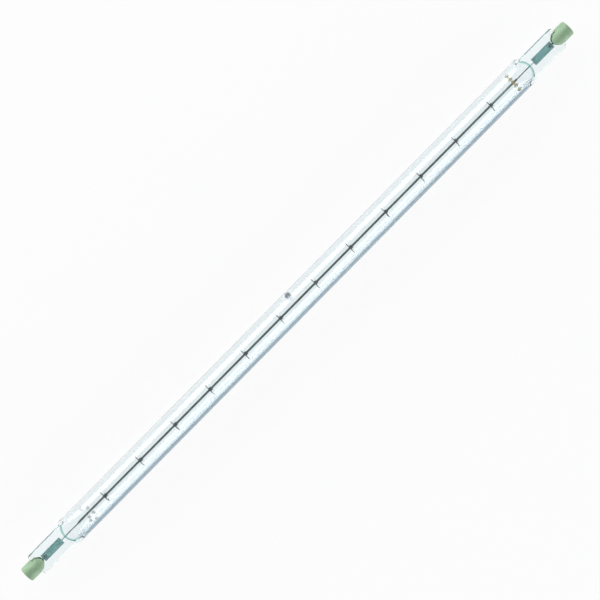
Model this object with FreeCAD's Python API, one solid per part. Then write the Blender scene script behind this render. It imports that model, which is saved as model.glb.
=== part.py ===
import FreeCAD, Part
import math
import os

# Double-ended linear halogen lamp, in millimetres.
# The lamp's axis is X, the flat faces of both pinches look along Z, and the origin is at mid-length.

# Overall
overall_length = 330.8      # from cap end to cap end

# Quartz envelope
tube_outer_d = 13.0
tube_wall = 1.5
pinch_width = 10.7
pinch_thickness = 3.8
pinch_length = 18.6         # flat part of the pinch
pinch_corner = 0.8          # cut-off corners at the pinch's outer end
shoulder_length = 8.6       # slope from the round tube down to the flat pinch
shoulder_rise = 0.5         # start of the slope above the tube, so that it cuts in at an angle
waist_length = 1.7          # narrowing from the tube's width to the pinch's width
cavity_reach = 1.4          # tip of the cavity past the root of the pinch
cavity_dome = 1.3           # radius of the cavity's end, more than its bore radius
cavity_tip = 0.7            # height of the cavity at its tip

# Exhaust tip, where the tube was pumped and sealed
tip_x = -1.2
tip_angle = 58.0            # from +Z towards +Y
tip_base_d = 4.0
tip_end_d = 1.2
tip_height = 2.0

# Filament and inner leads
inner_lead_d = 0.5
filament_wire_d = 0.28
coil_setback = 7.1          # end of the coil from the root of the pinch
lead_in_coil = 4.0
coil_clearance = 0.02       # between the lead, the coil and the supports

# Filament supports
support_count = 12
support_margin = 16.1       # end support from the end of the coil
support_wire = 0.35
support_outer_d = 5.7
support_hug_angle = 45.0    # part of a turn laid on the coil
support_ring_angle = 180.0  # outermost part of the spiral, round the axis

# Foil seal
foil_length = 11.2
foil_width = 3.4
foil_thickness = 0.05
foil_setback = 1.8          # quartz between the cavity and the foil
weld_lap = 2.0              # lead lying on the foil
weld_flat = 0.6             # depth of the flat on the inner lead, as a share of its radius
outer_lead_d = 0.8

# Ceramic caps, contacts and cement
cap_d = 7.2
cap_length = 9.6
cap_grip = 3.7              # pinch inside the cap's slot
cap_nose = 2.2              # rounded inner end of the cap
cap_nose_edge = 0.25        # thickness of the cheek at its tip
cement_gap = 0.15           # cement between pinch and slot, each side and at the bottom
cement_share = 0.95         # width of the cement, as a share of the slot's floor
recess_d = 3.6
recess_depth = 1.7
contact_d = 3.0
contact_thickness = 0.9
contact_clearance = 0.02
lead_clearance = 0.15

# Sizes that follow from those above
half_length = overall_length / 2
tube_r = tube_outer_d / 2
bore_r = tube_r - tube_wall
pinch_y = pinch_width / 2
pinch_z = pinch_thickness / 2
cap_inner_x = half_length - cap_length
pinch_end_x = cap_inner_x + cap_grip
pinch_root_x = pinch_end_x - pinch_length
shoulder_x = pinch_root_x - shoulder_length
cavity_end_x = pinch_root_x + cavity_reach
foil_inner_x = cavity_end_x + foil_setback
foil_outer_x = foil_inner_x + foil_length
inner_lead_r = inner_lead_d / 2
outer_lead_r = outer_lead_d / 2
foil_top_z = -weld_flat * inner_lead_r
coil_bore_r = inner_lead_r + coil_clearance
coil_r = coil_bore_r + filament_wire_d
coil_end_x = pinch_root_x - coil_setback
support_end_x = coil_end_x - support_margin
support_pitch = 2 * support_end_x / (support_count - 1)
slot_z = pinch_z + cement_gap
slot_end_x = pinch_end_x + cement_gap
cap_r = cap_d / 2
contact_face_x = half_length - recess_depth
contact_back_x = contact_face_x - contact_thickness
beyond = tube_outer_d       # cutting blocks reach this far past what they cut

X_AXIS = FreeCAD.Vector(1, 0, 0)
Y_AXIS = FreeCAD.Vector(0, 1, 0)
Z_AXIS = FreeCAD.Vector(0, 0, 1)
ORIGIN = FreeCAD.Vector(0, 0, 0)


def flat(x, r):
    """A point of an outline that is turned about the lamp's axis."""
    return FreeCAD.Vector(x, r, 0)


def side(x, z):
    """A point of an outline seen from the side."""
    return FreeCAD.Vector(x, 0, z)


def across(y, z):
    """A point of an outline that lies across the axis."""
    return FreeCAD.Vector(0, y, z)


def line(start, end):
    return Part.LineSegment(start, end).toShape()


def arc(start, middle, end):
    return Part.Arc(start, middle, end).toShape()


def curve(*poles):
    bezier = Part.BezierCurve()
    bezier.setPoles(list(poles))
    return bezier.toShape()


def path(*points):
    """Straight edges through the points."""
    return [line(a, b) for a, b in zip(points, points[1:])]


def face(edges):
    return Part.Face(Part.Wire(edges))


def turned(edges):
    return face(edges).revolve(ORIGIN, X_AXIS, 360)


def block(x0, x1, y0, y1, z0, z1):
    return Part.makeBox(x1 - x0, y1 - y0, z1 - z0, FreeCAD.Vector(x0, y0, z0))


def rod(radius, x0, x1):
    return Part.makeCylinder(radius, x1 - x0, FreeCAD.Vector(x0, 0, 0), X_AXIS)


def half_turn(shape, axis):
    copy = shape.copy()
    copy.rotate(ORIGIN, axis, 180)
    return copy


def press_block(start_x, start_z, rise, end_x, end_z):
    """What the pinching jaw takes away above one end: a slope that runs out level."""
    run = end_x - start_x
    slope = curve(
        side(start_x - run / 8, start_z + rise),
        side(start_x + run * 0.40, start_z - rise),
        side(end_x - run * 0.45, end_z),
        side(end_x, end_z),
    )
    top = start_z + beyond
    far_x = half_length + beyond
    rest = path(
        side(end_x, end_z),
        side(far_x, end_z),
        side(far_x, top),
        side(start_x - run / 8, top),
        side(start_x - run / 8, start_z + rise),
    )
    profile = face([slope] + rest)
    profile.translate(FreeCAD.Vector(0, -beyond, 0))
    return profile.extrude(Y_AXIS * (2 * beyond))


def pressed(shape, cutter):
    """Both faces of both ends are pressed alike."""
    right_low = half_turn(cutter, X_AXIS)
    left_top = half_turn(cutter, Z_AXIS)
    left_low = half_turn(right_low, Z_AXIS)
    return shape.cut([cutter, right_low, left_top, left_low])


def envelope_outside():
    """Round tube and flat pinches without the exhaust tip."""
    waist_x = pinch_root_x - waist_length
    body = turned(
        path(
            flat(-pinch_end_x, 0),
            flat(-pinch_end_x, pinch_y - pinch_corner),
            flat(-pinch_end_x + pinch_corner, pinch_y),
            flat(-pinch_root_x, pinch_y),
            flat(-waist_x, tube_r),
            flat(waist_x, tube_r),
            flat(pinch_root_x, pinch_y),
            flat(pinch_end_x - pinch_corner, pinch_y),
            flat(pinch_end_x, pinch_y - pinch_corner),
            flat(pinch_end_x, 0),
            flat(-pinch_end_x, 0),
        )
    )
    jaw = press_block(shoulder_x, tube_r, shoulder_rise, pinch_root_x, pinch_z)
    return pressed(body, jaw)


def cavity():
    """The gas space: the tube's bore, with a rounded end pressed to a wedge in each pinch."""
    dome_r = bore_r + cavity_dome
    centre = cavity_end_x - dome_r
    meet_x = centre + math.sqrt(dome_r ** 2 - bore_r ** 2)
    lean = math.asin(bore_r / dome_r) / 2
    right = arc(
        flat(meet_x, bore_r),
        flat(centre + dome_r * math.cos(lean), dome_r * math.sin(lean)),
        flat(cavity_end_x, 0),
    )
    left = half_turn(right, Y_AXIS)
    wall = line(flat(-meet_x, bore_r), flat(meet_x, bore_r))
    middle_line = line(flat(-cavity_end_x, 0), flat(cavity_end_x, 0))
    body = turned(Part.__sortEdges__([right, left, wall, middle_line]))
    jaw = press_block(shoulder_x, bore_r, shoulder_rise, cavity_end_x, cavity_tip / 2)
    return pressed(body, jaw)


def exhaust_tip():
    """A turned nipple that stands out of the tube, drawn along X and then swung into place."""
    root_x = tube_r - tube_wall / 2
    top_x = tube_r + tip_height
    nipple = turned(
        path(
            flat(root_x, 0),
            flat(root_x, tip_base_d / 2),
            flat(top_x, tip_end_d / 2),
            flat(top_x, 0),
            flat(root_x, 0),
        )
    )
    nipple.rotate(ORIGIN, Y_AXIS, -90)
    nipple.rotate(ORIGIN, X_AXIS, -tip_angle)
    nipple.translate(X_AXIS * tip_x)
    return nipple


def inner_lead():
    wire = rod(inner_lead_r, coil_end_x - lead_in_coil, foil_inner_x + weld_lap)
    weld = block(foil_inner_x, foil_outer_x, -beyond, beyond, -beyond, foil_top_z)
    return wire.cut(weld)


def outer_lead():
    wire = rod(outer_lead_r, foil_outer_x - weld_lap, contact_back_x)
    weld = block(foil_inner_x, foil_outer_x, -beyond, beyond, -beyond, foil_top_z)
    return wire.cut(weld)


def foil():
    half = foil_width / 2
    return block(foil_inner_x, foil_outer_x, -half, half, foil_top_z - foil_thickness, foil_top_z)


def ceramic_cap():
    """A turned cap with a contact recess at its end and a slot that straddles the pinch."""
    nose_r = slot_z + cap_nose_edge
    seat_r = contact_d / 2 + contact_clearance
    hole_r = outer_lead_r + lead_clearance
    body = turned(
        path(
            flat(cap_inner_x, nose_r),
            flat(cap_inner_x + cap_nose, cap_r),
            flat(half_length, cap_r),
            flat(half_length, recess_d / 2),
            flat(contact_face_x, recess_d / 2),
            flat(contact_face_x, seat_r),
            flat(contact_back_x, seat_r),
            flat(contact_back_x, hole_r),
            flat(cap_inner_x, hole_r),
            flat(cap_inner_x, nose_r),
        )
    )
    slot = block(cap_inner_x - beyond, slot_end_x, -beyond, beyond, -slot_z, slot_z)
    return body.cut(slot)


def cap_cement(glass, lead):
    """Fills the slot round the pinch where the cap has its full diameter."""
    half = math.sqrt(cap_r ** 2 - slot_z ** 2) * cement_share
    filling = block(cap_inner_x + cap_nose, slot_end_x, -half, half, -slot_z, slot_z)
    return filling.cut([glass, lead])


def contact():
    return rod(contact_d / 2, contact_back_x, contact_face_x)


def filament_coil():
    tube = rod(coil_r, -coil_end_x, coil_end_x)
    return tube.cut(rod(coil_bore_r, -coil_end_x, coil_end_x))


def spiral_side(offset):
    """One edge of the flat spiral: on the coil, out to the ring, then round the axis."""
    coil_turn_r = coil_r + coil_clearance + support_wire / 2
    ring_turn_r = (support_outer_d - support_wire) / 2
    hug_r = coil_turn_r + offset
    grow_c = (coil_turn_r - ring_turn_r) / 2
    grow_r = (coil_turn_r + ring_turn_r) / 2 + offset
    ring_r = ring_turn_r + offset
    hug = math.radians(support_hug_angle)
    ring = math.radians(support_ring_angle)
    return [
        arc(
            across(hug_r * math.cos(hug), -hug_r * math.sin(hug)),
            across(hug_r * math.cos(hug / 2), -hug_r * math.sin(hug / 2)),
            across(hug_r, 0),
        ),
        arc(
            across(grow_c + grow_r, 0),
            across(grow_c, grow_r),
            across(grow_c - grow_r, 0),
        ),
        arc(
            across(-ring_r, 0),
            across(-ring_r * math.cos(ring / 2), -ring_r * math.sin(ring / 2)),
            across(-ring_r * math.cos(ring), -ring_r * math.sin(ring)),
        ),
    ]


def filament_support():
    """A flat spiral of wire across the tube, held by its inner end on the coil."""
    outer = spiral_side(support_wire / 2)
    inner = spiral_side(-support_wire / 2)
    start = line(inner[0].firstVertex().Point, outer[0].firstVertex().Point)
    end = line(inner[-1].lastVertex().Point, outer[-1].lastVertex().Point)
    ribbon = face(Part.__sortEdges__(outer + inner + [start, end]))
    return half_turn(ribbon.extrude(X_AXIS * support_wire), X_AXIS)


# Pieces of the right end; the left end has the same ones turned half round Z
inner_lead_right = inner_lead()
outer_lead_right = outer_lead()
foil_right = foil()
ends = {
    "inner_lead": inner_lead_right,
    "foil": foil_right,
    "outer_lead": outer_lead_right,
    "ceramic_cap": ceramic_cap(),
    "contact": contact(),
}

# The quartz is fused round the leads and the foils
outside = envelope_outside()
sealed_in = [inner_lead_right, outer_lead_right, foil_right]
sealed_in = sealed_in + [half_turn(piece, Z_AXIS) for piece in sealed_in]
quartz = outside.cut([cavity()] + sealed_in).fuse(exhaust_tip())
ends["cap_cement"] = cap_cement(outside, outer_lead_right)

nodes = {
    "quartz_envelope": quartz,
    "filament_coil": filament_coil(),
}
for name, piece in ends.items():
    nodes[name + "_right"] = piece
    nodes[name + "_left"] = half_turn(piece, Z_AXIS)

for number in range(support_count):
    support = filament_support()
    support.translate(X_AXIS * (number * support_pitch - support_end_x - support_wire / 2))
    nodes["filament_support_%02d" % (number + 1)] = support

os.makedirs("parts", exist_ok=True)
for name, shape in nodes.items():
    solid = shape
    if len(shape.Solids) == 1:
        solid = shape.Solids[0]
    print(name, len(shape.Solids), shape.isValid(), round(shape.Volume, 3))
    solid.exportStep("parts/" + name + ".step")
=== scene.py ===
# %% [markdown]
# # A double-ended linear halogen lamp
# The lamp is a long quartz tube, pinched flat at both ends round a thin metal foil. A coiled
# filament runs down its middle, and a slotted ceramic cap with a recessed contact sits on each pinch.
# The imported CAD part gives every place and size, in metres, so the first step is to load it and to
# read its box.

# %% Load the imported part
import math

import bmesh
import bpy
import numpy as np
from mathutils import Matrix, Vector


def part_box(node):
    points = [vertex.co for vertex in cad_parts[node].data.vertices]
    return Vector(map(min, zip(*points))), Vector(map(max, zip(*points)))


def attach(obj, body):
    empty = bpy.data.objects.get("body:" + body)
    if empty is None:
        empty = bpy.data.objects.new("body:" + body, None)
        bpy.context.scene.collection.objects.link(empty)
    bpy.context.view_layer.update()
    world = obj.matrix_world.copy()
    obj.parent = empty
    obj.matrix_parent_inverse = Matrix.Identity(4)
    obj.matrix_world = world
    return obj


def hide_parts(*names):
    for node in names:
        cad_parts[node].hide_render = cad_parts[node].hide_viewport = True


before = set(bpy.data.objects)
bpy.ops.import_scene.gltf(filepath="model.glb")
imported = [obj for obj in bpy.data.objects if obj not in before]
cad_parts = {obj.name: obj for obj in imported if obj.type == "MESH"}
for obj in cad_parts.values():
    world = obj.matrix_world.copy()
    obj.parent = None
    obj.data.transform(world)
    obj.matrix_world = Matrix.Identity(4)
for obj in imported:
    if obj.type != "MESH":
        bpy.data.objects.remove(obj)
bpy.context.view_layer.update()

MM = 0.001

# %% [markdown]
# ## Shader arithmetic
# A material that follows the real finish needs masks: here a printed mark, there a weld. Each mask
# could be wired by hand from Math nodes, which soon gets unreadable. A small class that stands for
# one socket lets Python's own operators add those nodes, so a mask reads like a formula.


# %% A socket that takes part in arithmetic
class Wire:
    """One output of a node. Arithmetic on it adds Math nodes to its tree."""

    def __init__(self, graph, socket):
        self.graph = graph
        self.socket = socket

    def maths(self, operation, *values):
        return self.graph.node("ShaderNodeMath", {"operation": operation}, dict(enumerate(values)))

    def __add__(self, other):
        return self.maths("ADD", self, other)

    def __radd__(self, other):
        return self.maths("ADD", other, self)

    def __sub__(self, other):
        return self.maths("SUBTRACT", self, other)

    def __rsub__(self, other):
        return self.maths("SUBTRACT", other, self)

    def __mul__(self, other):
        return self.maths("MULTIPLY", self, other)

    def __rmul__(self, other):
        return self.maths("MULTIPLY", other, self)

    def __truediv__(self, other):
        return self.maths("DIVIDE", self, other)

    def __rtruediv__(self, other):
        return self.maths("DIVIDE", other, self)

    def __abs__(self):
        return self.maths("ABSOLUTE", self)

    def larger(self, other):
        return self.maths("MAXIMUM", self, other)

    def angle_to(self, other):
        return self.maths("ARCTAN2", self, other)

    def away(self, other):
        """Distance in a plane, from two wires at right angles."""
        return self.maths("SQRT", self * self + other * other)

    def step(self, low, high):
        """0 below low, 1 above high, and a soft rise between them."""
        ends = {"Value": self, "From Min": low, "From Max": high, "To Min": 0.0, "To Max": 1.0}
        return self.graph.node("ShaderNodeMapRange", {"interpolation_type": "SMOOTHSTEP"}, ends)


print("operators on sockets ready")

# %% [markdown]
# A node tree is then grown one call at a time. Settings such as a Math node's operation come first,
# because they decide which sockets a node has, and values or links follow. The same class serves the
# materials, the world and the Geometry Nodes trees, and `Look` adds what every finish here uses.


# %% A node tree that grows one call at a time
class Graph:
    """Adds nodes to a tree. A list of wires goes to a socket that takes several links."""

    def __init__(self, tree):
        self.tree = tree
        tree.nodes.clear()

    def node(self, kind, settings=None, sockets=None, output=0):
        made = self.tree.nodes.new(kind)
        for name, value in (settings or {}).items():
            setattr(made, name, value)
        for name, value in (sockets or {}).items():
            if not isinstance(value, (Wire, list)):
                made.inputs[name].default_value = value
                continue
            for wire in value if isinstance(value, list) else [value]:
                self.tree.links.new(wire.socket, made.inputs[name])
        return Wire(self, made.outputs[output]) if made.outputs else None


class Look(Graph):
    """A material, with the few helpers that every finish here uses."""

    def __init__(self, name):
        self.material = bpy.data.materials.new(name)
        self.material.use_nodes = True
        super().__init__(self.material.node_tree)

    def place(self):
        """Object coordinates as three wires, in millimetres."""
        point = self.node("ShaderNodeTexCoord", output="Object")
        axes = [self.node("ShaderNodeSeparateXYZ", None, {"Vector": point}, axis) for axis in "XYZ"]
        return [axis * (1 / MM) for axis in axes]

    def noise(self, scale, detail=3.0, stretch=(1.0, 1.0, 1.0)):
        """Grain, with scale in features per millimetre. A small stretch draws it out along that axis."""
        point = self.node("ShaderNodeTexCoord", output="Object")
        size = tuple(axis / MM for axis in stretch)
        mapped = self.node("ShaderNodeMapping", None, {"Vector": point, "Scale": size})
        sockets = {"Vector": mapped, "Scale": scale, "Detail": detail}
        return self.node("ShaderNodeTexNoise", None, sockets)

    def mix(self, factor, first, second):
        """A colour mix. Its sockets go by number, because each kind of value repeats their names."""
        sockets = {0: factor, 6: first, 7: second}
        return self.node("ShaderNodeMix", {"data_type": "RGBA"}, sockets, 2)

    def bump(self, height, strength, distance):
        sockets = {"Height": height, "Strength": strength, "Distance": distance * MM}
        return self.node("ShaderNodeBump", None, sockets)

    def shader(self, **sockets):
        """A Principled BSDF. Socket names are written with _ for a space."""
        spaced = {name.replace("_", " "): value for name, value in sockets.items()}
        return self.node("ShaderNodeBsdfPrincipled", None, spaced)

    def blend(self, factor, first, second):
        """One shader turning into another."""
        return self.node("ShaderNodeMixShader", None, {0: factor, 1: first, 2: second})

    def finish(self, surface, **depth):
        self.node("ShaderNodeOutputMaterial", None, {"Surface": surface, **depth})
        return self.material


print("trees and looks ready")

# %% [markdown]
# ## The quartz envelope
# The tube is drawn quartz. A pair of jaws squeezes each hot end flat, so its section goes from a
# circle to a flat strip with round sides. A CAD facet shows at once in clear glass, because every
# facet bends the light as one flat piece, so the envelope is lofted anew from the CAD model's own
# numbers: for each place along the lamp there is a half width and a half thickness, and a section is
# the smooth meeting of a circle with a slab. The same rule gives the gas space inside.

# %% Sizes of the envelope, in millimetres
TUBE_R, BORE_R = 6.48, 5.0  # a hair under the CAD tube's 6.5, so that the round loft stays in its box
PINCH_Y, PINCH_Z = 5.35, 1.9
PINCH_END, PINCH_ROOT = 159.5, 140.9
SHOULDER, WAIST, RISE = 132.3, 139.2, 0.5
JAW_START, JAW_BEND, JAW_RUNOUT = 0.125, 0.40, 0.45  # shares of the slope's length
LIFT, CURVED_LIFT = 0.22, 0.06  # how fast the slab rises clear of the round tube
CORNER, END_BREAK, END_DROP = 0.8, 0.25, 0.12
CAVITY_END, DOME_R, CAVITY_TIP = 142.3, 6.3, 0.35
OUTER_EDGE, INNER_EDGE = 14, 10  # the higher, the sharper the edge between circle and slab


def smooth(t):
    t = np.clip(t, 0, 1)
    return t * t * (3 - 2 * t)


def press_slope(x, start_z, end_x, end_z):
    """Half thickness left by the jaws at x: a curve that runs out level, and leaves the round tube alone."""
    run = end_x - SHOULDER
    bend_in, bend_out = SHOULDER + run * JAW_BEND, end_x - run * JAW_RUNOUT
    poles_x = np.array([SHOULDER - run * JAW_START, bend_in, bend_out, end_x])
    poles_z = np.array([start_z + RISE, start_z - RISE, end_z, end_z])
    t = np.linspace(0, 1, 200)[:, None]
    weights = np.hstack([(1 - t) ** 3, 3 * t * (1 - t) ** 2, 3 * t * t * (1 - t), t ** 3])
    before = np.clip(poles_x[0] - x, 0, None)
    slope = np.interp(x, weights @ poles_x, weights @ poles_z)
    return slope + LIFT * before + CURVED_LIFT * before ** 2


def section(width, thickness, turn, sharpness):
    """Radius at each angle of a circle that is flattened by a slab, with soft edges."""
    flat = np.maximum(np.abs(np.sin(turn)), 1e-6) / thickness[:, None]
    return (width[:, None] ** -sharpness + flat ** sharpness) ** (-1 / sharpness)


print("tube of", 2 * TUBE_R, "mm, pinches of", 2 * PINCH_Y, "by", 2 * PINCH_Z, "mm")

# %% [markdown]
# A loft needs its rings where the shape changes and few where it doesn't. So rings crowd at the
# shoulders, at the snapped ends and round the exhaust tip, and so do the points of each ring on the
# tip's side. An even grid that is fine enough for the tip would have nearly two million faces.

# %% Angles round the lamp and places along it
TIP_X, TIP_ANGLE, TIP_HEIGHT = -1.2, math.radians(58.0), 2.0
TIP_TURN = math.pi / 2 - TIP_ANGLE
RING_POINTS, CROWDING = 160, 0.55
MIDDLE_HALF, MIDDLE_RINGS, TIP_STRETCH, TIP_RINGS = 120, 49, 3, 51
even = np.linspace(-math.pi, math.pi, RING_POINTS, endpoint=False)
turns = TIP_TURN + even - CROWDING * np.sin(even)


def both_ends(*stretches):
    """Places from stretches (start, end, count) on the right end, mirrored, with the middle filled in."""
    right_end = np.concatenate([np.linspace(a, b, n, endpoint=False) for a, b, n in stretches])
    middle = np.linspace(-MIDDLE_HALF, MIDDLE_HALF, MIDDLE_RINGS)
    by_tip = np.linspace(TIP_X - TIP_STRETCH, TIP_X + TIP_STRETCH, TIP_RINGS)
    return np.unique(np.round(np.concatenate([-right_end, middle, by_tip, right_end]), 5))


outer_x = both_ends((123, 138, 24), (138, 141.6, 36), (141.6, 158.4, 18), (158.4, 159.45, 14))
inner_x = both_ends((123, 137, 24), (137, 141, 30), (141, 142.29, 30))
print("rings outside and inside:", len(outer_x), len(inner_x), "points in a ring:", len(turns))

# %% [markdown]
# The exhaust tip is where the tube was pumped out, filled and sealed by a flame. It is raised on the
# same grid rather than stuck on: two closed glass bodies that overlap would show a false surface
# inside. Its narrow hole is drawn from inside in the same way. How high a point is lifted depends on its
# distance from the tip's middle, which changes as it is lifted, so the rule runs a few times to settle.

# %% Raise the exhaust tip on a lofted wall
FOOT, STEEPNESS, DROP, FILLET = 0.5, 3.4, 0.15, 0.5
TIP_SIDE, ROUNDS = 0.35, 8
OUTER_TIP, INNER_TIP = (TIP_HEIGHT - 0.06, 1.25), (1.2, 0.6)  # height and reach


def raise_tip(x, radius, base_r, height, reach):
    """Lifts the wall near the tip to a flame-sealed nipple of that height."""
    swing = turns[None, :] - TIP_TURN
    facing = np.maximum(np.cos(swing), TIP_SIDE)
    result = radius.copy()
    for _ in range(ROUNDS):
        away = np.hypot(x[:, None] - TIP_X, result * np.sin(swing))
        bell = (height + FOOT) / (1 + (away / reach) ** STEEPNESS) - FOOT - DROP * away ** 2
        nipple = np.where(np.cos(swing) > TIP_SIDE, (base_r + bell) / facing, 0)
        near = np.maximum(FILLET - np.abs(nipple - radius), 0) / FILLET
        result = np.maximum(radius, nipple) + near ** 2 * FILLET / 4
    return result


print("exhaust tip", TIP_HEIGHT, "mm high at x =", TIP_X)

# %% Radii of the outside and of the gas space
from_end = np.abs(outer_x) - PINCH_END
corner = np.sqrt(1 - ((from_end + CORNER) / CORNER).clip(0, 1) ** 2)
half_width = TUBE_R + (PINCH_Y - TUBE_R) * smooth((np.abs(outer_x) - WAIST) / (PINCH_ROOT - WAIST))
half_width = half_width - CORNER * (1 - corner)
half_thick = press_slope(np.abs(outer_x), TUBE_R, PINCH_ROOT, PINCH_Z)
half_thick = half_thick - END_DROP * smooth((from_end + END_BREAK) / END_BREAK)
outer_r = raise_tip(outer_x, section(half_width, half_thick, turns, OUTER_EDGE), TUBE_R, *OUTER_TIP)

past_centre = (np.abs(inner_x) - CAVITY_END + DOME_R).clip(0)
inner_half = np.minimum(BORE_R, np.sqrt(np.clip(DOME_R ** 2 - past_centre ** 2, 1e-6, None)))
inner_thick = press_slope(np.abs(inner_x), BORE_R, CAVITY_END, CAVITY_TIP)
inner_r = raise_tip(inner_x, section(inner_half, inner_thick, turns, INNER_EDGE), BORE_R, *INNER_TIP)
print("highest point of the exhaust tip, mm from the axis:", round(float(outer_r.max()), 2))

# %% [markdown]
# ## The finish of the quartz
# Clear fused quartz has a refractive index of about 1.46 and a breath of blue-green where it is thick.
# Near both ends a lamp carries its print. Plain lozenges at one end and short dashes at the other
# stand there. They could be thin pieces of their own, but enamel has no thickness worth modelling, so
# they are masks that swap the glass for a dull paint, and only on the outer wall.

# %% Masks for the printed marks
LOZENGE_X, LOZENGES_ROUND = 131.2, (5.4, 3.2, 1.4, -0.4, -2.8)
LOZENGE_LONG, LOZENGE_WIDE, LOZENGE_SOFT = 1.15, 1.05, 0.35
DASH_LONG, DASH_WIDE, OUTER_WALL = (0.4, 0.8), (0.55, 0.95), (5.6, 6.0)
DASHES = [(-128.3, 4.9), (-125.8, 3.1), (-125.3, -0.2), (-128.0, -0.4), (-128.6, -1.9), (-126.4, -3.3)]

quartz = Look("quartz_clear")
x, y, z = quartz.place()
around = y.angle_to(z) * TUBE_R
lozenges = 0.0
for at_round in LOZENGES_ROUND:
    reach = abs(x - LOZENGE_X) / LOZENGE_LONG + abs(around - at_round) / LOZENGE_WIDE
    lozenges = (1 - reach.step(1 - LOZENGE_SOFT, 1 + LOZENGE_SOFT)).larger(lozenges)
dashes = 0.0
for at_x, at_round in DASHES:
    dash = (1 - abs(x - at_x).step(*DASH_LONG)) * (1 - abs(around - at_round).step(*DASH_WIDE))
    dashes = dash.larger(dashes)
patchy = quartz.noise(2.5, 4.0)
worn = patchy.step(0.28, 0.5) * y.away(z).step(*OUTER_WALL)
print("print masked by", len(quartz.tree.nodes), "nodes")

# %% [markdown]
# The tint of the glass changes over the lamp. Drawing leaves faint lines along the tube, and a wall
# that is seen edge on looks a little darker, which Layer Weight gives. The rim of the gas space, where
# the pinch begins, shows as a blue-green arc on the real lamp. The flame leaves the exhaust tip a
# little cloudy, so the edge tint stops short of it. Each mask is a soft step between two places.

# %% Tints and waves of the glass
PRESSED, SNAPPED, TIP_AREA = (139.0, 142.0), (159.25, 159.45), (1.2, 3.2)
ARC_BAND, ARC_START, ARC_LEVEL = (5.5, 6.05), (138.0, 140.0), (1.0, 1.3)
streaks = quartz.noise(1.6, 2.0, (0.02, 1.0, 1.0))
waves = quartz.noise(0.35, 2.0)
pressed = abs(x).step(*PRESSED)
snapped = abs(x).step(*SNAPPED)
off_tip = (x - TIP_X).away(around - TIP_ANGLE * TUBE_R).step(*TIP_AREA)
edge_on = quartz.node("ShaderNodeLayerWeight", None, {"Blend": 0.5}, "Facing").step(0.3, 0.75)
from_dome = (abs(x) - (CAVITY_END - DOME_R)).away(y) + waves * 0.5
cavity_rim = from_dome.step(*ARC_BAND) * abs(x).step(*ARC_START) * (1 - abs(z).step(*ARC_LEVEL))

tint = quartz.mix(streaks.step(0.3, 0.7), (0.945, 0.978, 0.986, 1), (0.962, 0.987, 0.992, 1))
tint = quartz.mix(edge_on * (1 - pressed) * off_tip, tint, (0.84, 0.885, 0.915, 1))
tint = quartz.mix(cavity_rim * (1 - snapped), tint, (0.40, 0.68, 0.65, 1))
uneven = streaks * 0.25 * (1 - pressed) + waves * pressed
print("tints mixed, nodes so far:", len(quartz.tree.nodes))

# %% [markdown]
# The glass itself is a Principled BSDF with full transmission. A Base Color tints each crossing of a
# surface, and a Volume Absorption adds the depth of colour in the solid pinches, as thick quartz has.
# The snapped outer ends are matt. Mix Shader nodes then lay the cloudy tip and the print on top.

# %% Glass, cloudy tip and print
glass = quartz.shader(
    Base_Color=tint,
    Roughness=snapped * 0.45,
    IOR=1.458,
    Transmission_Weight=1.0,
    Normal=quartz.bump(uneven, 0.12, 0.05),
)
milk = quartz.mix(waves, (0.62, 0.69, 0.76, 1), (0.80, 0.85, 0.90, 1))
gold = quartz.mix(patchy, (0.20, 0.17, 0.08, 1), (0.36, 0.31, 0.18, 1))
grey = quartz.mix(patchy, (0.30, 0.33, 0.33, 1), (0.48, 0.52, 0.51, 1))
coated = quartz.blend((1 - off_tip) * 0.45, glass, quartz.shader(Base_Color=milk, Roughness=0.4))
coated = quartz.blend(lozenges * worn, coated, quartz.shader(Base_Color=gold, Roughness=0.55))
coated = quartz.blend(dashes * worn * 0.8, coated, quartz.shader(Base_Color=grey, Roughness=0.6))
absorbing = {"Color": (0.0, 0.56, 0.70, 1), "Density": 12.0}
quartz_clear = quartz.finish(coated, Volume=quartz.node("ShaderNodeVolumeAbsorption", None, absorbing))
print(quartz_clear.name, "has", len(quartz.tree.nodes), "nodes")

# %% [markdown]
# ## Closing the envelope
# The rings become one closed mesh: an outer skin whose faces look out, and an inner skin whose faces
# look into the gas space, so that a ray always knows whether it enters or leaves the glass. Each end
# is closed by a fan of triangles. Two more rings on each snapped face keep it flat.


# %% Turn rings of points into a closed mesh
def shell(x, radius, outward):
    """Points and faces of a closed skin through the rings, with a fan of triangles at each end."""
    count = len(turns)
    along = np.repeat(x[:, None], count, 1)
    rings = np.stack([along, radius * np.cos(turns), radius * np.sin(turns)], 2)
    points = np.concatenate([rings.reshape(-1, 3), [[x[0], 0, 0], [x[-1], 0, 0]]])
    here = np.arange(count)
    after = (here + 1) % count
    faces = []
    for ring in range(len(x) - 1):
        low = ring * count
        high = low + count
        faces += np.stack([low + here, high + here, high + after, low + after], 1).tolist()
    last = (len(x) - 1) * count
    faces += np.stack([here, after, np.full(count, len(points) - 2)], 1).tolist()
    faces += np.stack([last + after, last + here, np.full(count, len(points) - 1)], 1).tolist()
    return points, [face[::-1] if outward else face for face in faces]


def settle(made, slot, *nodes):
    """A finished piece at the origin rides on the lamp and stands for those CAD nodes."""
    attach(made, "root")
    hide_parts(*nodes)
    made.data.calc_loop_triangles()
    print(made.name, "has", len(made.data.loop_triangles), "triangles")


def placed(name, data):
    """A new object with that mesh, light or camera, in the scene."""
    made = bpy.data.objects.new(name, data)
    bpy.context.scene.collection.objects.link(made)
    return made


print("each ring joins the next by", len(turns), "faces")

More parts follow.
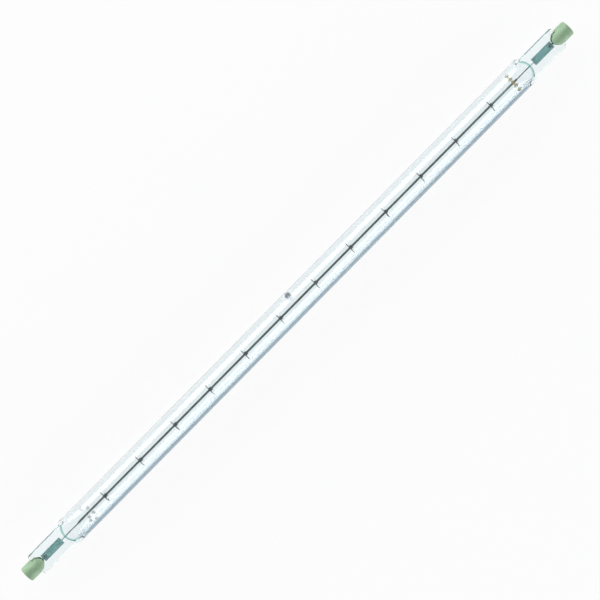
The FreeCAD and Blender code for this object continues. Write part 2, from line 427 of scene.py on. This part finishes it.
# %% Build the envelope
END_INNER, END_OUTER = 0.9, 0.985  # the two rings on a snapped face, as shares of its outline
end_x = np.concatenate([[-PINCH_END, -PINCH_END], outer_x, [PINCH_END, PINCH_END]])
first, last = outer_r[:1], outer_r[-1:]
left_r, right_r = [first * END_INNER, first * END_OUTER], [last * END_OUTER, last * END_INNER]
end_r = np.concatenate([*left_r, outer_r, *right_r])
out_points, out_faces = shell(end_x, end_r, True)
in_points, in_faces = shell(inner_x, inner_r, False)
in_faces = [[index + len(out_points) for index in face] for face in in_faces]
skin = bpy.data.meshes.new("quartz_envelope_clear")
skin.from_pydata((np.concatenate([out_points, in_points]) * MM).tolist(), [], out_faces + in_faces)
skin.shade_smooth()
skin.materials.append(quartz_clear)
settle(placed("quartz_envelope_clear", skin), "quartz", "quartz_envelope")

# %% [markdown]
# ## The filament coil
# The filament is one tungsten wire wound into hundreds of close turns. Copies of a ring would not
# join up, so a Geometry Nodes tree draws one true helix with the Spiral curve and sweeps a small circle
# along it. Turning the sizes into inputs of the tree lets the pitch be tried without touching the code.


# %% Helper: build a Geometry Nodes tree and turn its result into a mesh
def grow(name, inputs, wiring):
    """Runs a new tree on an empty mesh. inputs are {name: (socket type, value)}."""
    tree = bpy.data.node_groups.new(name, "GeometryNodeTree")
    graph = Graph(tree)
    face = tree.interface
    face.new_socket("Geometry", in_out="OUTPUT", socket_type="NodeSocketGeometry")
    sockets = {}
    for label, (kind, _) in inputs.items():
        sockets[label] = face.new_socket(label, in_out="INPUT", socket_type=kind)
    wires = {label: graph.node("NodeGroupInput", output=label) for label in inputs}
    geometry = wiring(graph, wires)
    geometry = graph.node("GeometryNodeRealizeInstances", None, {"Geometry": geometry})
    dressed = {"Geometry": geometry, "Material": wires["Finish"]}
    graph.node("NodeGroupOutput", None, {0: graph.node("GeometryNodeSetMaterial", None, dressed)})
    holder = placed(name, bpy.data.meshes.new(name))
    modifier = holder.modifiers.new("grow", "NODES")
    modifier.node_group = tree
    for label, (_, value) in inputs.items():
        modifier[sockets[label].identifier] = value
    evaluated = holder.evaluated_get(bpy.context.evaluated_depsgraph_get())
    holder.data = bpy.data.meshes.new_from_object(evaluated)
    holder.modifiers.clear()
    holder.data.shade_smooth()
    return holder


print("tree helper ready")

# %% [markdown]
# Tungsten that has glowed is dull and dark, with an uneven grain. One flat dark colour would look like
# plastic at this size, so a single noise drives colour, roughness and bump together. On this lamp the
# coil is paler beyond its last support on the right, which a mask along the wire gives.

# %% Tungsten, dull and dark
PALE_START, PALE_END = (118.5, 121.0), (129.0, 132.0)


def tungsten(name, dark, light):
    """Dark wire, with the paler stretch that this lamp has between its last support and its right end."""
    look = Look(name)
    along = look.place()[0]
    grain = look.noise(3.0, 4.0)
    metal = look.mix(grain.step(0.25, 0.75), dark, light)
    pale = along.step(*PALE_START) * (1 - along.step(*PALE_END))
    return look.finish(look.shader(
        Base_Color=look.mix(pale * 0.8, metal, (0.17, 0.26, 0.25, 1)),
        Metallic=0.85,
        Roughness=grain * 0.3 + 0.3,
        Normal=look.bump(grain, 0.3, 0.02),
    ))


coil_finish = tungsten("tungsten_coil", (0.035, 0.065, 0.06, 1), (0.085, 0.13, 0.118, 1))
support_finish = tungsten("tungsten_support", (0.035, 0.05, 0.052, 1), (0.09, 0.115, 0.115, 1))
print("tungsten finishes:", coil_finish.name, support_finish.name)

# %% Wind the filament
COIL_R, FILAMENT_R, COIL_END, COIL_TURNS = 0.55, 0.14, 133.8, 720.0


def swept(graph, curve, wire_radius, sides):
    """Wire of a round section along a curve, with closed ends."""
    ring = graph.node("GeometryNodeCurvePrimitiveCircle", None, {"Resolution": sides, "Radius": wire_radius})
    sockets = {"Curve": curve, "Profile Curve": ring, "Fill Caps": True}
    return graph.node("GeometryNodeCurveToMesh", None, sockets)


def wind_filament(graph, size):
    helix = graph.node("GeometryNodeCurveSpiral", None, {
        "Resolution": 14,
        "Rotations": size["Turns"],
        "Start Radius": size["Coil Radius"],
        "End Radius": size["Coil Radius"],
        "Height": size["Length"],
    })
    start = graph.node("ShaderNodeCombineXYZ", None, {"X": size["Length"] * -0.5})
    return graph.node("GeometryNodeTransform", None, {
        "Geometry": swept(graph, helix, size["Wire Radius"], 6),
        "Translation": start,
        "Rotation": (0.0, math.pi / 2, 0.0),
    })


coil = grow("filament_coil_wound", {
    "Length": ("NodeSocketFloat", (2 * COIL_END - 2 * FILAMENT_R) * MM),
    "Coil Radius": ("NodeSocketFloat", (COIL_R - FILAMENT_R) * MM),
    "Wire Radius": ("NodeSocketFloat", FILAMENT_R * MM),
    "Turns": ("NodeSocketFloat", COIL_TURNS),
    "Finish": ("NodeSocketMaterial", coil_finish),
}, wind_filament)
settle(coil, "tungsten", "filament_coil")

# %% [markdown]
# ## The filament supports
# A glowing filament this long would sag on to the quartz. At even steps a short wire is knotted
# round it with a few turns, then wound out into a flat ring that keeps the coil in the middle. One
# support is drawn as three curves that follow on from each other, and the tree sets a copy at each step.
# A small random lean with a fixed seed keeps the copies from looking stamped.

# %% Draw one support
KNOT_PITCH = 2.1  # in wire radii, so that the turns all but touch


def draw_support(graph, size):
    """A knot on the coil, half a turn outwards, and most of a ring, laid across the lamp."""
    knot = graph.node("GeometryNodeCurveSpiral", None, {
        "Resolution": 14,
        "Rotations": size["Knot Turns"],
        "Start Radius": size["Knot Radius"],
        "End Radius": size["Knot Radius"],
        "Height": size["Knot Turns"] * size["Wire Radius"] * KNOT_PITCH,
    })
    outwards = graph.node("GeometryNodeCurveSpiral", None, {
        "Resolution": 40,
        "Rotations": 0.5,
        "Start Radius": size["Knot Radius"],
        "End Radius": size["Ring Radius"],
        "Height": 0.0,
    })
    ring = graph.node("GeometryNodeCurveArc", {"mode": "RADIUS"}, {
        "Resolution": 34,
        "Radius": size["Ring Radius"],
        "Start Angle": math.pi,
        "Sweep Angle": size["Ring Sweep"],
    })
    drawn = graph.node("GeometryNodeJoinGeometry", None, {0: [knot, outwards, ring]})
    wire = swept(graph, drawn, size["Wire Radius"], 7)
    sockets = {"Geometry": wire, "Rotation": (0.0, math.pi / 2, 0.0)}
    return graph.node("GeometryNodeTransform", None, sockets)


print("support curves ready")

# %% Repeat it along the coil
SUPPORT_R, SUPPORT_END, SUPPORTS = 0.175, 117.7, 12
KNOT_TURNS, KNOT_GAP, RING_R, RING_SWEEP = 3.0, 0.02, 2.85, math.radians(205.0)
LEAN_MOST, LEAN_SEED = 0.35, 4


def set_supports(graph, size):
    """One support at each step along the coil, each with a small lean of its own."""
    start = graph.node("ShaderNodeCombineXYZ", None, {"X": size["First"]})
    pitch = graph.node("ShaderNodeCombineXYZ", None, {"X": size["First"] * -2 / (size["Count"] - 1)})
    line = {"Count": size["Count"], "Start Location": start, "Offset": pitch}
    lean = {2: -LEAN_MOST, 3: LEAN_MOST, "Seed": LEAN_SEED}
    leaning = graph.node("FunctionNodeRandomValue", {"data_type": "FLOAT"}, lean, 1)
    return graph.node("GeometryNodeInstanceOnPoints", None, {
        "Points": graph.node("GeometryNodeMeshLine", None, line),
        "Instance": draw_support(graph, size),
        "Rotation": graph.node("ShaderNodeCombineXYZ", None, {"X": leaning - math.pi / 2}),
    })


supports = grow("filament_supports_wound", {
    "Wire Radius": ("NodeSocketFloat", SUPPORT_R * MM),
    "Knot Radius": ("NodeSocketFloat", (COIL_R + KNOT_GAP + SUPPORT_R) * MM),
    "Knot Turns": ("NodeSocketFloat", KNOT_TURNS),
    "Ring Radius": ("NodeSocketFloat", (RING_R - SUPPORT_R) * MM),
    "Ring Sweep": ("NodeSocketFloat", RING_SWEEP),
    "First": ("NodeSocketFloat", -SUPPORT_END * MM),
    "Count": ("NodeSocketInt", SUPPORTS),
    "Finish": ("NodeSocketMaterial", support_finish),
}, set_supports)
settle(supports, "tungsten", *["filament_support_%02d" % (n + 1) for n in range(SUPPORTS)])

# %% [markdown]
# ## Leads and foils
# Quartz hardly grows when it gets hot and metal does, so no thick wire could pass through it without
# a leak. A strip of molybdenum, thinner than paper, bridges the pinch between an inner and an outer
# wire instead. Their CAD shapes are right, so they stay and get finishes: the foil is rolled metal with
# a dark spot at each weld. The inner wires are dark at the hot end and pale where the quartz holds them.


# %% The foil
def dress(finish, *nodes):
    """Gives CAD nodes, which keep their shape, a better material."""
    for name in nodes:
        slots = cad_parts[name].data.materials
        slots.clear()
        slots.append(finish)
    print(finish.name, "on", ", ".join(nodes))


INNER_WELD, OUTER_WELD, FOIL_MIDDLE = 145.2, 154.2, 149.7
INNER_SPOT, OUTER_SPOT = (0.25, 0.75), (0.35, 0.95)
FOIL_SIDE, FOIL_END = (1.35, 1.65), (5.2, 5.5)
foil = Look("molybdenum_foil")
x, y, _ = foil.place()
rolled = foil.noise(1.2, 3.0, (0.25, 2.0, 1.0))
inner_weld = 1 - (abs(x) - INNER_WELD).away(y).step(*INNER_SPOT)
outer_weld = 1 - (abs(x) - OUTER_WELD).away(y).step(*OUTER_SPOT)
foil_rim = abs(y).step(*FOIL_SIDE).larger(abs(abs(x) - FOIL_MIDDLE).step(*FOIL_END))
sheet = foil.mix(rolled.step(0.3, 0.7), (0.17, 0.37, 0.36, 1), (0.25, 0.46, 0.45, 1))
sheet = foil.mix(foil_rim * 0.6, sheet, (0.08, 0.19, 0.19, 1))
sheet = foil.mix((inner_weld * 0.35).larger(outer_weld * 0.85), sheet, (0.02, 0.05, 0.05, 1))
foil_finish = foil.finish(foil.shader(
    Base_Color=sheet,
    Metallic=0.35,
    Roughness=rolled * 0.2 + 0.4,
    Normal=foil.bump(rolled, 0.3, 0.03),
))
dress(foil_finish, "foil_left", "foil_right")

# %% The leads
HOT_END, HELD_START, HELD_END = (134.0, 143.0), (140.6, 142.6), (147.0, 149.0)
lead = Look("drawn_lead_wire")
along = abs(lead.place()[0])
drawn = lead.noise(2.0, 3.0, (0.08, 2.5, 2.5))
hot = 1 - along.step(*HOT_END)
sealed_in = along.step(*HELD_START) * (1 - along.step(*HELD_END))
metal = lead.mix(drawn.step(0.3, 0.7), (0.07, 0.10, 0.10, 1), (0.14, 0.18, 0.18, 1))
metal = lead.mix(hot * 0.8, metal, (0.025, 0.04, 0.04, 1))
metal = lead.mix(sealed_in * 0.9, metal, (0.26, 0.42, 0.41, 1))
lead_finish = lead.finish(lead.shader(
    Base_Color=metal,
    Metallic=0.7,
    Roughness=drawn * 0.2 + 0.35,
    Normal=lead.bump(drawn, 0.3, 0.02),
))
dress(lead_finish, "inner_lead_left", "inner_lead_right", "outer_lead_left", "outer_lead_right")

# %% [markdown]
# ## Caps, contacts and cement
# The caps are pressed and fired steatite, a dense green-grey ceramic with a fine grain and softly broken
# edges. The contact in its recess is a nickel button, rubbed bright in the middle by the holder, and
# the cement in the slot is dry and grainy. The ceramic needs noise at three scales: large clouds for
# its colour, specks in the clay, and a fine grain for the bump. Painted maps could do this too, but
# noise has no seams and needs no unwrapping.

# %% Fired ceramic
ceramic = Look("fired_steatite")
grain = ceramic.noise(6.0, 4.0)
speck = ceramic.noise(3.2, 2.0).step(0.64, 0.70)
clouds = ceramic.noise(0.35, 3.0).step(0.3, 0.7)
clay = ceramic.mix(clouds, (0.235, 0.375, 0.225, 1), (0.30, 0.445, 0.285, 1))
ceramic_finish = ceramic.finish(ceramic.shader(
    Base_Color=ceramic.mix(speck * 0.35, clay, (0.17, 0.21, 0.14, 1)),
    Roughness=grain * 0.2 + 0.45,
    Normal=ceramic.bump(grain, 0.35, 0.05),
))
print(ceramic_finish.name, "has", len(ceramic.tree.nodes), "nodes")

# %% Nickel, rubbed in the middle
nickel = Look("nickel_contact")
_, y, z = nickel.place()
lathe = nickel.noise(5.0, 2.0)
rubbed = 1 - (y.away(z) + lathe * 0.5).step(0.7, 1.2)
nickel_finish = nickel.finish(nickel.shader(
    Base_Color=nickel.mix(rubbed, (0.46, 0.45, 0.42, 1), (0.70, 0.69, 0.66, 1)),
    Metallic=1.0,
    Roughness=0.5 - rubbed * 0.2,
    Normal=nickel.bump(lathe, 0.2, 0.02),
))
dress(nickel_finish, "contact_left", "contact_right")

# %% Dry cement
cement = Look("basing_cement")
grit = cement.noise(4.0, 5.0)
cement_finish = cement.finish(cement.shader(
    Base_Color=cement.mix(grit.step(0.3, 0.7), (0.55, 0.58, 0.52, 1), (0.74, 0.76, 0.70, 1)),
    Roughness=0.9,
    Normal=cement.bump(grit, 0.6, 0.08),
))
dress(cement_finish, "cap_cement_left", "cap_cement_right")

# %% [markdown]
# The CAD cap has the right shape but knife-sharp edges, and what catches the light on the real one is
# its rounded rim. A copy of its mesh is merged first, because a CAD mesh is loose triangles that share
# no edges. The outer rim gets a wide bevel of its own, and the Bevel modifier breaks the other edges.

# %% Soften the caps
MERGE, EDGE_BREAK = 0.002 * MM, 0.22 * MM
RIM_X, RIM_R, RIM_ROUND = 165.3 * MM, 3.5 * MM, 0.7 * MM  # the rim lies past the first two


def rounded_cap(name):
    """A merged copy of the CAD cap's mesh, with its outer rim rounded off."""
    body = bmesh.new()
    body.from_mesh(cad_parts[name].data)
    bmesh.ops.remove_doubles(body, verts=body.verts, dist=MERGE)
    on_rim = {point for point in body.verts if abs(point.co.x) > RIM_X and point.co.yz.length > RIM_R}
    rim = [edge for edge in body.edges if set(edge.verts) <= on_rim]
    bmesh.ops.bevel(body, geom=rim, offset=RIM_ROUND, segments=4, profile=0.5, affect="EDGES")
    mesh = bpy.data.meshes.new(name + "_fired")
    body.to_mesh(mesh)
    body.free()
    mesh.shade_smooth()
    mesh.materials.append(ceramic_finish)
    print(name, "has", len(rim), "rim edges rounded")
    return mesh


for name in ("ceramic_cap_left", "ceramic_cap_right"):
    cap = placed(name + "_fired", rounded_cap(name))
    soften = cap.modifiers.new("soften", "BEVEL")
    soften.width = EDGE_BREAK
    soften.segments = 3
    soften.limit_method = "ANGLE"
    soften.angle_limit = math.radians(35)
    soften.harden_normals = True
    evaluated = cap.evaluated_get(bpy.context.evaluated_depsgraph_get())
    cap.data = bpy.data.meshes.new_from_object(evaluated)
    cap.modifiers.clear()
    settle(cap, "ceramic", name)

# %% [markdown]
# ## Table and light
# Clear glass only shows what is behind and around it, so the table does the work. It is white to the
# camera and nearly so through glass, and keeps the lamp's own shadow. Photographers set a dark card
# beside clear glass to give it an edge. Here there is no card: a grey strip of painted shade on the table,
# on the fill's side where the lamp's shadow falls, stands in for that shade. Only rays that come through
# glass or off metal see it, and it draws the blue-grey line along one side of the tube.

# %% The white table
TABLE_HALF, TABLE_GAP = 3.0, 0.02 * MM
TABLE_TO_CAMERA, TABLE_TO_GLASS = 0.92, 0.78
# Where the strip of painted shade lies beside the lamp, in mm across the table
PAINTED_SHADE_FAR, PAINTED_SHADE_NEAR = (-60.0, -40.0), (-8.0, -6.8)


def white_share(graph, camera, glass):
    """How white a ray sees its surroundings: straight from the camera, or by way of glass or metal."""
    share = graph.node("ShaderNodeLightPath", output="Is Camera Ray") * camera
    for ray in ("Is Glossy Ray", "Is Transmission Ray"):
        share = share.larger(graph.node("ShaderNodeLightPath", output=ray) * glass)
    return share


paper = Look("white_table")
side = paper.place()[1]
to_camera = paper.node("ShaderNodeLightPath", output="Is Camera Ray")
# Painted shade: a band of the table beside the lamp, seen only by rays through glass or off metal
painted_shade_strip = side.step(*PAINTED_SHADE_FAR) * (1 - side.step(*PAINTED_SHADE_NEAR)) * (1 - to_camera)
# The table's glow is white, with the painted shade strip in blue-grey
white = paper.mix(painted_shade_strip, (1, 1, 1, 1), (0.33, 0.43, 0.50, 1))
fibre = paper.mix(paper.noise(0.6, 3.0), (0.91, 0.91, 0.91, 1), (0.93, 0.93, 0.93, 1))
dull = paper.node("ShaderNodeBsdfDiffuse", None, {"Color": fibre})
glow = paper.node("ShaderNodeEmission", None, {"Color": white, "Strength": 1.0})
seen = white_share(paper, TABLE_TO_CAMERA, TABLE_TO_GLASS)
paper_finish = paper.finish(paper.blend(seen, dull, glow))

table_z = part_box("quartz_envelope")[0].z - TABLE_GAP
corners = [(-1, -1), (1, -1), (1, 1), (-1, 1)]
table = bpy.data.meshes.new("table")
table.from_pydata([(a * TABLE_HALF, b * TABLE_HALF, table_z) for a, b in corners], [], [(0, 1, 2, 3)])
table.materials.append(paper_finish)
floor = placed("table", table)
print("table at", round(table_z / MM, 3), "mm")

# %% [markdown]
# Two long softboxes run along the lamp, a key on the exhaust tip's side and a weaker fill opposite it,
# so both flanks of the round caps are lit. They are long and low: a small light would mirror as a hard
# white spot in the tube. The world adds little light of its own. Like the table it is white to the
# camera, and glass and metal see it a little darker.


# %% Softboxes
def softbox(name, place, size, watts):
    """A rectangular lamp at that place that looks at the middle of the object."""
    light = bpy.data.lights.new(name, "AREA")
    light.shape = "RECTANGLE"
    light.size, light.size_y = size
    light.energy = watts
    box = placed(name, light)
    box.location = place
    box.rotation_euler = (-Vector(place)).to_track_quat("-Z", "Y").to_euler()
    print(name, watts, "W at", place)


softbox("key_softbox", (0.0, 1.15, 0.40), (3.4, 0.70), 32.0)
softbox("fill_softbox", (0.0, -1.2, 0.30), (3.2, 0.5), 25.0)

# %% The world
SKY_TO_CAMERA, SKY_TO_GLASS = 1.0, 0.7
world = bpy.data.worlds.new("studio")
world.use_nodes = True
sky = Graph(world.node_tree)
dim = sky.node("ShaderNodeBackground", None, {"Color": (0.90, 0.96, 1, 1), "Strength": 0.25})
bright = sky.node("ShaderNodeBackground", None, {"Color": (1, 1, 1, 1), "Strength": 1.0})
light_mix = {0: white_share(sky, SKY_TO_CAMERA, SKY_TO_GLASS), 1: dim, 2: bright}
sky.node("ShaderNodeOutputWorld", None, {"Surface": sky.node("ShaderNodeMixShader", None, light_mix)})
bpy.context.scene.world = world
print("world", world.name, "has", len(sky.tree.nodes), "nodes")

# %% [markdown]
# ## The camera
# The lamp is seen from above, a little from the exhaust tip's side, and lies across the frame from
# corner to corner. The camera's three axes are written down as vectors and put into one matrix, which
# is easier to check than Euler angles. A long lens keeps both ends of the lamp at the same size.

# %% The camera above the table
TILT, ROLL = math.radians(12.0), math.radians(45.34)
WIDE, LENS, SENSOR = 257.7 * MM, 150.0, 36.0
OFF_RIGHT, OFF_UP = 1.12 * MM, 0.47 * MM
length_axis = Vector((1, 0, 0))
back = Vector((0, math.sin(TILT), math.cos(TILT)))
across = Vector((0, math.cos(TILT), -math.sin(TILT)))
right = length_axis * math.cos(ROLL) - across * math.sin(ROLL)
up = length_axis * math.sin(ROLL) + across * math.cos(ROLL)
aim = right * OFF_RIGHT + up * OFF_UP
optics = bpy.data.cameras.new("camera")
optics.lens = LENS
optics.sensor_width = SENSOR
camera = placed("camera", optics)
axes = Matrix((right, up, back)).transposed().to_4x4()
camera.matrix_world = Matrix.Translation(aim + back * (WIDE * LENS / SENSOR)) @ axes
bpy.context.scene.camera = camera
bpy.context.scene.view_settings.view_transform = "Standard"
print("camera", round(camera.location.length, 3), "m away")
